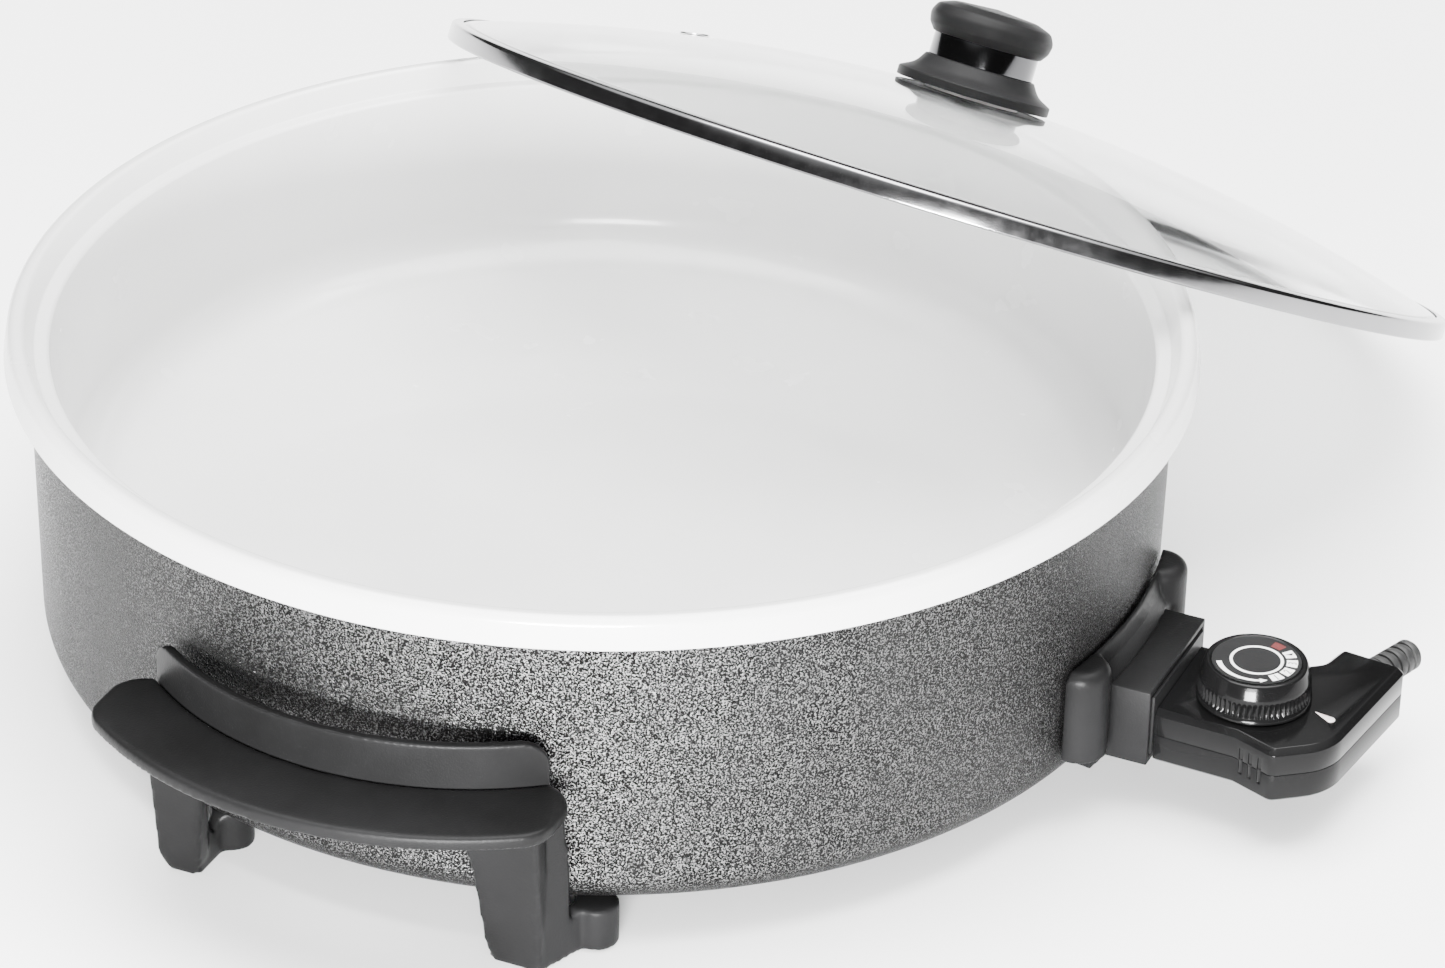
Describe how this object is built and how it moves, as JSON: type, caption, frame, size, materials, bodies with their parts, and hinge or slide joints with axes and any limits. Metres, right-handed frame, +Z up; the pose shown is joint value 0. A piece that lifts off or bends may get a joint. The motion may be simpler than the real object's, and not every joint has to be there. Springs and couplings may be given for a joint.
{
  "type": "electric griddle",
  "caption": "Round deep electric griddle with a ceramic-coated pan, side grips on feet, a plug-in dial thermostat and a domed glass lid leaning on its rim.",
  "frame": {"origin": "the point of the table under the pan's centre line, at the level of the feet", "axes": "+Z up, +X from the pan's centre towards the plug-in control, the two grips at -Y (front) and +Y (back, where the lid leans)"},
  "size_m": [0.523, 0.675, 0.2],
  "materials": {
    "ceramic_coat": "gloss",
    "hammertone": "hammertone, gloss",
    "base_sheet": "satin",
    "black_molding": "satin",
    "black_gloss": "gloss",
    "steel": "plain",
    "bright_steel": "polished",
    "brass": "plain",
    "ceramic": "matte",
    "clear_glass": "clear",
    "lamp_glass": "clear",
    "red_lens": "translucent",
    "dial_print": "printed",
    "soft_rubber": "matte",
    "pale_rubber": "matte",
    "aluminium": "cast"
  },
  "bodies": {
    "pan": {"pan_bowl": "ceramic_coat", "outer_shell": "hammertone", "base_plate": "base_sheet", "base_pillars": "aluminium", "base_screws": "steel", "heating_element": "steel", "element_clips": "steel", "sensor_block": "aluminium", "contact_pins": "steel", "terminal_block": "ceramic", "socket_shroud": "black_molding", "earth_contact": "brass", "socket_flange": "black_molding", "socket_screws": "steel", "front_handle": "black_molding", "front_handle_guard": "black_molding", "front_handle_screws": "steel", "front_handle_nuts": "steel", "back_handle": "black_molding", "back_handle_guard": "black_molding", "back_handle_screws": "steel", "back_handle_nuts": "steel"},
    "control": {"housing_top": "black_gloss", "housing_bottom": "black_gloss", "housing_screws": "steel", "indicator_lens": "red_lens", "indicator_lamp": "lamp_glass", "contact_nose": "black_molding", "contact_sleeves": "brass", "probe_rod": "bright_steel", "thermostat_frame": "steel", "spindle_bush": "brass", "bimetal_blade": "steel", "contact_arm": "brass", "ceramic_stack": "ceramic", "fixed_contact": "brass", "line_terminals": "brass", "cord_clamp": "black_molding", "clamp_screws": "steel", "strain_relief": "soft_rubber"},
    "dial": {"thermostat_knob": "black_gloss", "dial_plate": "dial_print", "knob_spindle": "steel"},
    "plunger": {"setting_plunger": "ceramic"},
    "lid": {"lid_glass": "clear_glass", "lid_ring": "bright_steel", "vent_eyelet": "bright_steel", "knob_gasket": "pale_rubber", "lid_knob_base": "black_molding", "lid_knob_band": "bright_steel", "lid_knob_cap": "black_gloss", "knob_washer": "bright_steel", "lid_knob_screw": "steel"}
  },
  "joints": [
    {"name": "control_pull", "type": "slide", "parent": "pan", "child": "control", "axis": [1, 0, 0], "range_m": [0, 0.085]},
    {"name": "knob_turn", "type": "hinge", "parent": "control", "child": "dial", "pos_m": [0.26, 0, 0.05], "axis": [0, 0, 1], "range_deg": [-40, 230]},
    {"name": "plunger_travel", "type": "slide", "parent": "control", "child": "plunger", "axis": [0, 0, -1], "range_m": [-0.0004, 0.0012]},
    {"name": "lid_lift", "type": "slide", "parent": "pan", "child": "lid", "axis": [0, 0, 1], "range_m": [0, 0.3]}
  ],
  "couplings": [
    {"joint": "plunger_travel", "follows": "knob_turn", "m_per_rad": 0.000255}
  ]
}
